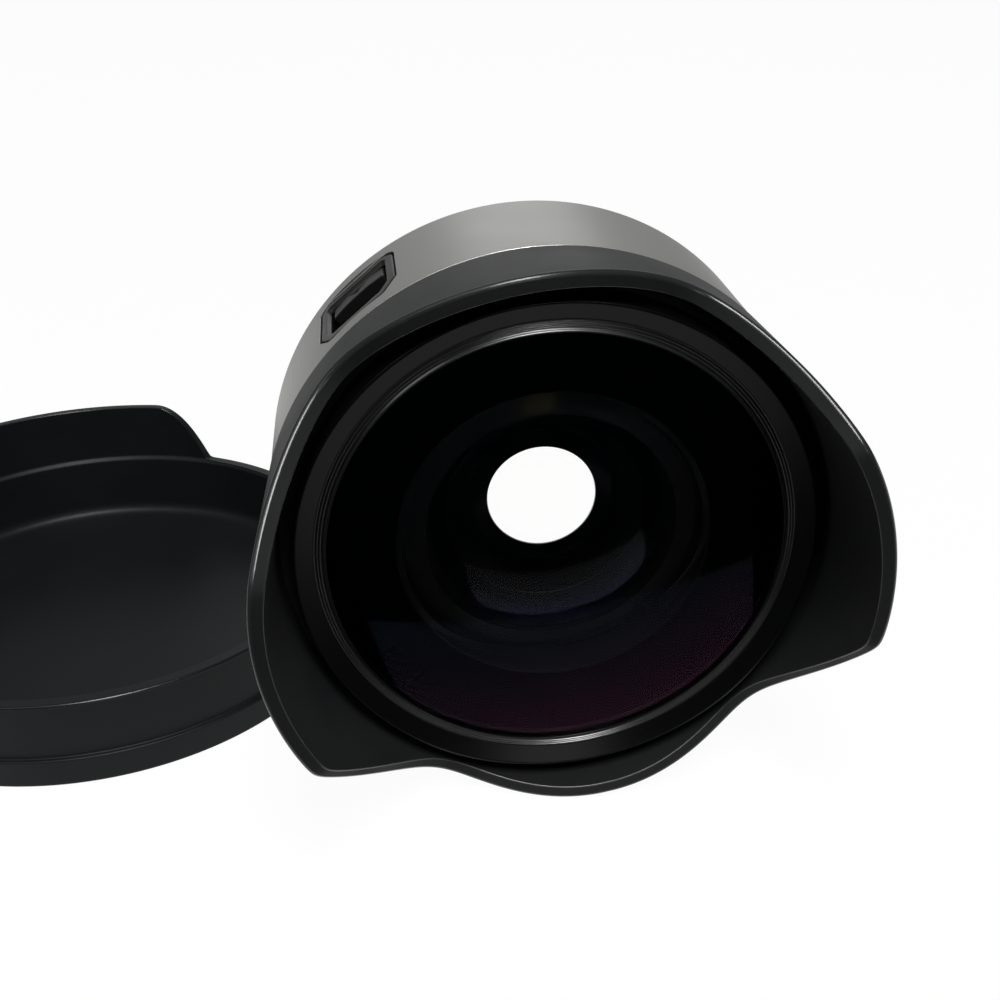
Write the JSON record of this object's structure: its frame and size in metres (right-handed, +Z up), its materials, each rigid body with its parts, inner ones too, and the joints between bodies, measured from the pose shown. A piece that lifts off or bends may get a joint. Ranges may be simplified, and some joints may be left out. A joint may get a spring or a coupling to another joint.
{
  "type": "fisheye converter lens",
  "caption": "Fisheye converter lens: silver barrel, black petal hood, domed coated front glass, rear bayonet with a sprung release slide, and a push-on cap lying beside it.",
  "frame": {"origin": "centre of the rear mount face, on the optical axis", "axes": "+Y backwards along the optical axis, out of the rear socket, so the hood faces -Y; +Z up from the surface that the lens lies on; +X to the right seen from the front. The lens lies rolled 10.5 degrees about its axis, as pictured."},
  "size_m": [0.1232, 0.0886, 0.0618],
  "materials": {
    "silver_aluminium": "bead-blasted, clear anodised, satin",
    "black_aluminium": "black anodised, satin",
    "black_bezel": "black anodised, fine turned",
    "front_glass": "polished, multi-coated",
    "inner_glass": "polished, multi-coated",
    "seal_rubber": "matte",
    "black_inner": "flat black paint",
    "black_mount": "black anodised, satin",
    "plated_steel": "nickel plated",
    "black_plastic": "fine moulded grain, satin",
    "cap_plastic": "moulded, satin"
  },
  "bodies": {
    "lens": {"barrel_shell": "silver_aluminium", "petal_hood": "black_aluminium", "bezel_ring": "black_bezel", "front_element": "front_glass", "front_seal": "seal_rubber", "front_spacer": "black_inner", "lens_housing": "black_inner", "second_element": "inner_glass", "element_spacer": "black_inner", "third_element": "inner_glass", "fourth_element": "inner_glass", "rear_cell": "black_inner", "rear_retaining_ring": "black_inner", "rear_shield": "black_inner", "mount_ring": "black_mount", "mount_screws": "plated_steel", "hood_dowel": "plated_steel", "release_bezel": "black_plastic", "lock_spring": "plated_steel", "spring_rod": "plated_steel", "guide_plate": "plated_steel", "guide_screws": "plated_steel"},
    "release": {"release_slider": "black_plastic", "lock_pin": "plated_steel"},
    "cap": {"front_cap": "cap_plastic"}
  },
  "joints": [
    {"name": "release_slide", "type": "slide", "parent": "lens", "child": "release", "axis": [0, -1, 0], "range_m": [0, 0.002], "stiffness_N_per_m": 200, "springref_m": -0.002, "deforming": ["lock_spring"]},
    {"name": "cap_aside", "type": "slide", "parent": "lens", "child": "cap", "axis": [-1, 0, 0], "range_m": [0, 0.06]}
  ]
}
